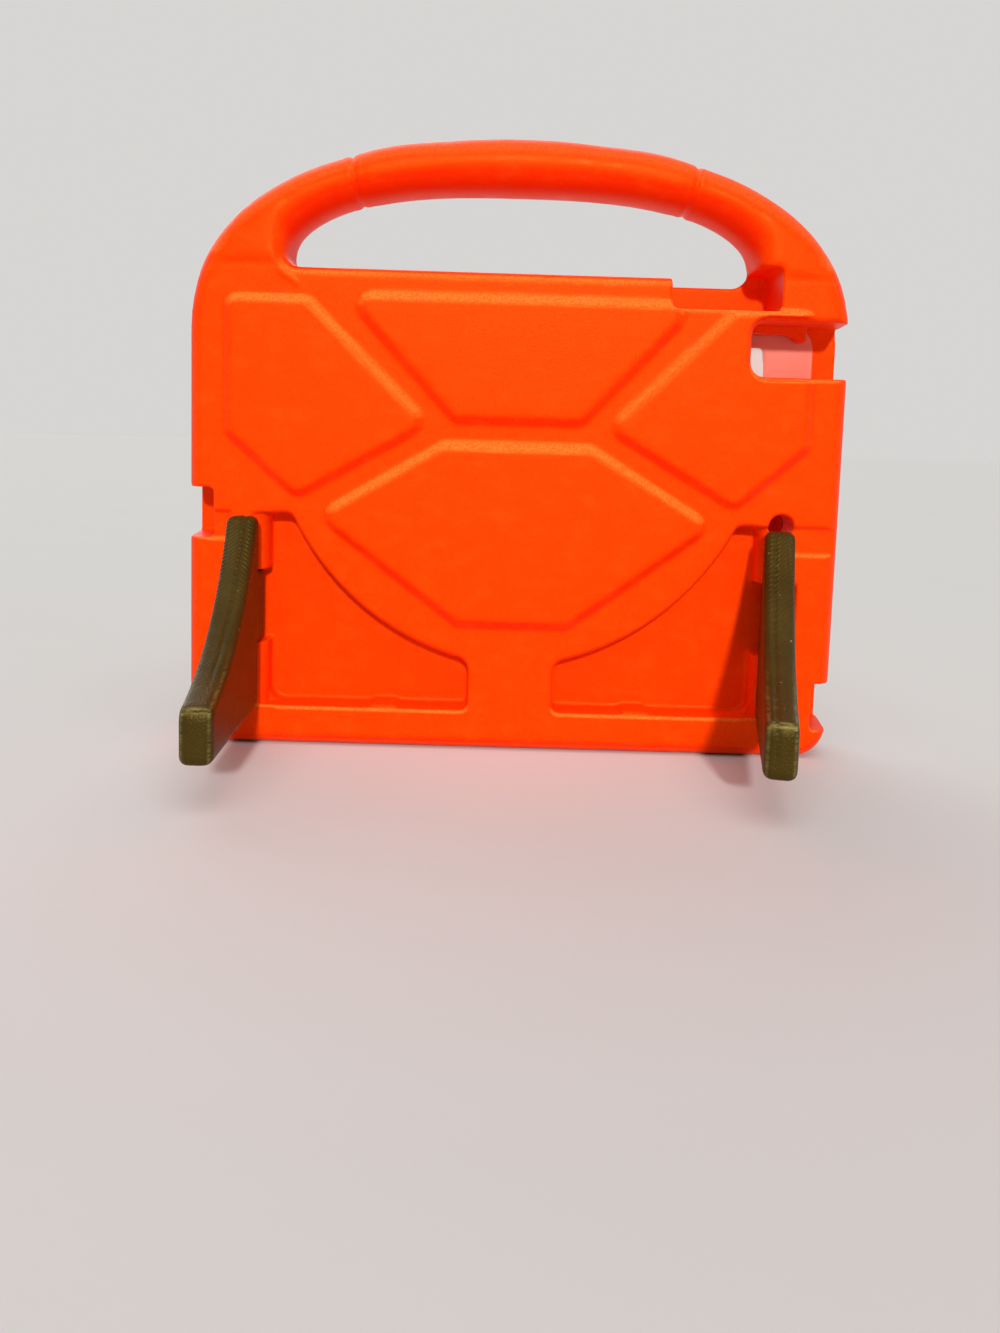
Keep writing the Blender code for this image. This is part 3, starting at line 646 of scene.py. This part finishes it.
def paintCaseLightAndWear(piece):
    # painted light with some wear, from each face's tilt: faces that turn upwards are painted paler (painted
    # highlight and rubbing), and faces that turn downwards are painted redder (painted shade)
    places, normals = vertexPlaces(piece), vertexNormals(piece)
    back = eased(-normals[:, 1], 0.05, 0.5)
    tilt = np.clip(normals[:, 2] / 0.42, -1, 1)
    # the painting is strongest on the panels, weaker on the handle's upward faces, and faint in the hollows of
    # the back
    y, z = places[:, 1] / mm, places[:, 2] / mm
    reach = 1 - 0.85 * eased(y, -13.2, -12.2) * (1 - eased(z, 166, 172))
    reach = reach * (1 - 0.6 * eased(z, 164, 176) * (tilt > 0))
    setWearAndPaintedLight(piece, 0.5 + 0.5 * tilt * back * reach)


def panelWeights(piece):
    # 1 on the back's panels and between them, 0 within 3 mm of a hollow or an outer edge
    places, normals = vertexPlaces(piece), vertexNormals(piece)
    column = np.clip(places[:, 0] / mm + 130, 0, 259).astype(int)
    row = np.clip(places[:, 2] / mm + 5, 0, 239).astype(int)
    seen = normals[:, 1] < -0.25
    hollow = np.zeros((260, 240), bool)
    deep = places[:, 1] > caseShell["backPlane"] * mm
    hollow[column[seen & deep], row[seen & deep]] = True
    for _ in range(3):
        grown = hollow.copy()
        grown[1:] |= hollow[:-1]
        grown[:-1] |= hollow[1:]
        grown[:, 1:] |= hollow[:, :-1]
        grown[:, :-1] |= hollow[:, 1:]
        hollow = grown
    return (seen & ~deep & ~hollow[column, row]).astype(float)


def makeCase():
    piece = mergedCopy("case_body", "case_shell")
    cutAway(piece, boxCutter("slotCorner", *caseShell["slotCorner"], caseShell["slotRounding"]))
    half = caseShell["windowHalf"]
    near, far = caseShell["windowDepth"]
    low, high = caseShell["windowHeight"]
    cutAway(piece, boxCutter("windowEdge", (-half, near, low), (half, far, high), caseShell["windowRounding"]))
    closeHole(piece, caseShell["lensPlace"], caseShell["lensRadius"], caseShell["lensWeb"])
    voxelRemesh(piece, caseShell["voxel"] * mm)
    print("stage: case remeshed,", len(piece.data.vertices))
    smooth(piece, caseShell["softTimes"])
    places = vertexPlaces(piece) / mm
    # the handle's rounding starts higher over the body's straight top edge
    start = 175 - 8.5 * eased(np.abs(places[:, 0]), 70, 78)
    weightGroup(piece, "handle", np.clip((places[:, 2] - start) / 5, 0, 1))
    smooth(piece, caseShell["handleTimes"], "handle")
    weightGroup(piece, "panels", panelWeights(piece))
    smooth(piece, caseShell["panelTimes"], "panels")
    shapeArch(piece)
    shapeArms(piece)
    shapeSeams(piece)
    thinOut(piece, caseShell["triangles"])
    piece.vertex_groups.clear()
    paintCaseLightAndWear(piece)
    piece.data.materials.append(orangeFoamMaterial)
    selectOnly(piece)
    bpy.ops.object.shade_smooth()
    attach(piece, "case")
    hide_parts("case_body")
    print("stage: case,", len(piece.data.polygons), "triangles")


# Legs: flat foam stands with rounded edges, and the thin line where their mould parted

legPiece = {
    "voxel": 0.36,
    "softTimes": 6,
    "toeTimes": 45,          # the toes are rounder than the rest
    "triangles": 120000,
    "hingeY": -7.65,
    # each leg's hinge, its directions from there to the toe and across it, and its parting line
    "left": {"hingeX": -92.5, "along": (0.0349, -0.9994), "across": (0.9994, 0.0349),
             "line": 1.0, "lineEnd": 38},
    "right": {"hingeX": 92.5, "along": (-0.2079, -0.9781), "across": (0.9781, -0.2079),
              "line": -1.5, "lineEnd": 20},
    "lineDepth": 0.42,
    "lineHalf": 0.42,
    "nubHeight": 0.35,       # the small raised nub at the top of the left leg's line
}


def alongLeg(places, side):
    # how far each place is from the hinge, towards the toe and across the leg, in mm
    leg = legPiece[side]
    flat = places[:, :2] / mm - np.array((leg["hingeX"], legPiece["hingeY"]))
    return flat @ np.array(leg["along"]), flat @ np.array(leg["across"])


def shapeLeg(piece, side):
    places, normals = vertexPlaces(piece), vertexNormals(piece)
    leg = legPiece[side]
    reach, offset = alongLeg(places, side)
    faceSide = np.abs(normals[:, :2] @ np.array(leg["across"]))
    z = places[:, 2] / mm
    edge = 1 - eased(faceSide, 0.45, 0.85)
    away = offset - leg["line"]
    # the parting line wanders a little and fades towards the toe
    wander = 0.12 * np.sin(z * 0.41) + 0.07 * np.sin(z * 1.3 + 1)
    if side == "left":
        rough = 0.8 + 0.2 * np.sin(z * 2.3)
    else:
        rough = 0.62 + 0.38 * np.sin(z * 2.9) * np.sin(z * 0.9)
    fade = eased(z, leg["lineEnd"] - 6, leg["lineEnd"] + 8)
    line = np.exp(-((away + wander) / legPiece["lineHalf"]) ** 2)
    groove = legPiece["lineDepth"] * line * rough * fade * edge
    # beside the line the foam swells a little
    swell = 0.12 * ridge(np.abs(away) - 1.4, 1.4) * fade * edge
    amount = swell - groove
    if side == "left":
        nub = np.exp(-((away - 0.2) / 0.5) ** 2) * eased(z, 81.0, 81.7) * ridge(reach - 1, 1.4)
        amount = amount + legPiece["nubHeight"] * nub
    setPlaces(piece, places + normals * (amount * mm)[:, None])


def toeWeights(piece, side):
    reach, offset = alongLeg(vertexPlaces(piece), side)
    return 0.25 + 0.75 * eased(reach, 55, 70)


def paintLegWearAndHighlight(piece, side):
    # the toes' rounded edges are worn paler, most of all at their upper corner, where faces that turn upwards
    # get the pale colour as a painted highlight as well as wear
    places, normals = vertexPlaces(piece), vertexNormals(piece)
    leg = legPiece[side]
    reach, offset = alongLeg(places, side)
    faceSide = np.abs(normals[:, :2] @ np.array(leg["across"]))
    corner = ridge(faceSide - 0.62, 0.34) * eased(reach, 40, 72) * 0.4
    end = normals[:, :2] @ np.array(leg["along"])
    shoulder = ridge(end - 0.72, 0.3) * eased(normals[:, 2], 0.2, 0.55) * eased(reach, 60, 72)
    setWearAndPaintedLight(piece, np.clip(corner + shoulder, 0, 1))


def makeLeg(side):
    piece = mergedCopy(side + "_leg", side + "_stand_leg")
    voxelRemesh(piece, legPiece["voxel"] * mm)
    smooth(piece, legPiece["softTimes"])
    weightGroup(piece, "toe", toeWeights(piece, side))
    smooth(piece, legPiece["toeTimes"], "toe")
    shapeLeg(piece, side)
    thinOut(piece, legPiece["triangles"])
    piece.vertex_groups.clear()
    paintLegWearAndHighlight(piece, side)
    piece.data.materials.append(oliveFoamMaterial)
    selectOnly(piece)
    bpy.ops.object.shade_smooth()
    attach(piece, side + "_leg")
    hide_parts(side + "_leg")
    print("stage:", side, "leg,", len(piece.data.polygons), "triangles")


def dressNode(nodeName, material):
    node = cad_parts[nodeName]
    node.material_slots[0].material = material


makeCase()
makeLeg("left")
makeLeg("right")
dressNode("screen_film", clearFilmMaterial)
dressNode("left_hinge_pin", pinSteelMaterial)
dressNode("right_hinge_pin", pinSteelMaterial)
